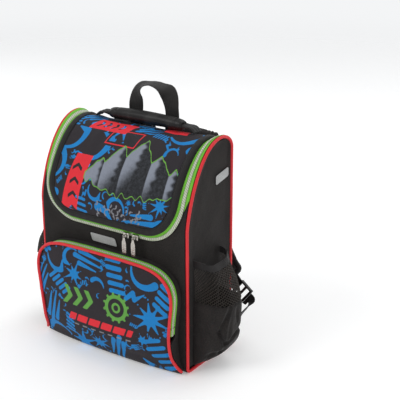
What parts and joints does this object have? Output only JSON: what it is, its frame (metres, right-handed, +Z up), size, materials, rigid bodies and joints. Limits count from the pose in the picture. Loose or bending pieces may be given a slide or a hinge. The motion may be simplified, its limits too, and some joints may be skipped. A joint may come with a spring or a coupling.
{
  "type": "school ransel",
  "caption": "Stiff box-shaped school backpack with an arched zip lid over the top, a front pocket, open side pockets, a carrying handle and padded shoulder straps.",
  "frame": {"origin": "on the ground at the middle of the bottom panel", "axes": "+Z up, -Y the front with the pocket, +Y the side worn on the back, X the width"},
  "size_m": [0.371, 0.1839, 0.391],
  "materials": {
    "cloth": "charcoal-black woven polyester",
    "binding": "black webbing and binding tape",
    "piping": "red piping cord",
    "tape": "lime green zip tape",
    "coil": "light grey coil zip",
    "metal": "silver zip slider",
    "print": null,
    "mesh": "black air mesh",
    "reflective": "silver-grey reflective patch",
    "rubber": "black moulded grip",
    "plastic": "black moulded buckle"
  },
  "bodies": {
    "ransel": {"front_panel": "cloth", "bottom_panel": "cloth", "back_panel": "cloth", "side_panel_left": "cloth", "side_panel_right": "cloth", "shoulder_strap_left": "cloth", "shoulder_strap_right": "cloth", "side_pocket_left": "cloth", "side_pocket_right": "cloth", "pocket_gusset": "cloth", "back_pad_upper": "mesh", "back_pad_lower": "mesh", "back_band": "mesh", "side_pocket_mesh_left": "mesh", "side_pocket_mesh_right": "mesh", "lid": "print", "pocket_face": "print", "lid_binding": "binding", "side_pocket_binding_left": "binding", "side_pocket_binding_right": "binding", "strap_binding_left": "binding", "strap_binding_right": "binding", "strap_webbing_left": "binding", "strap_webbing_right": "binding", "lower_webbing_left": "binding", "lower_webbing_right": "binding", "handle_webbing_left": "binding", "handle_webbing_right": "binding", "hanging_loop": "binding", "zip_tape_inner": "tape", "zip_tape_outer_left": "tape", "zip_tape_outer_right": "tape", "pocket_zip_tape_back": "tape", "pocket_zip_tape_front": "tape", "zip_coil": "coil", "pocket_zip_coil": "coil", "piping_left": "piping", "piping_right": "piping", "pocket_piping": "piping", "zip_slider_1": "metal", "zip_slider_2": "metal", "pocket_slider": "metal", "front_reflector": "reflective", "side_reflector_left": "reflective", "side_reflector_right": "reflective", "strap_reflector_left": "reflective", "strap_reflector_right": "reflective", "handle_grip": "rubber", "ladder_buckle_left": "plastic", "ladder_buckle_right": "plastic"},
    "zip_pull_1": {"zip_pull_1": "metal"},
    "zip_pull_2": {"zip_pull_2": "metal"},
    "pocket_pull": {"pocket_pull": "metal"}
  },
  "joints": [
    {"name": "zip_pull_1_swing", "type": "hinge", "parent": "ransel", "child": "zip_pull_1", "pos_m": [0.034, -0.07131, 0.19742], "axis": [-1, 0, 0], "range_deg": [-12, 150]},
    {"name": "zip_pull_2_swing", "type": "hinge", "parent": "ransel", "child": "zip_pull_2", "pos_m": [0.05, -0.07115, 0.19742], "axis": [-1, 0, 0], "range_deg": [-12, 150]},
    {"name": "pocket_pull_swing", "type": "hinge", "parent": "ransel", "child": "pocket_pull", "pos_m": [-0.13037, -0.0729, 0.09817], "axis": [0, 1, 0], "range_deg": [-8, 150]}
  ]
}
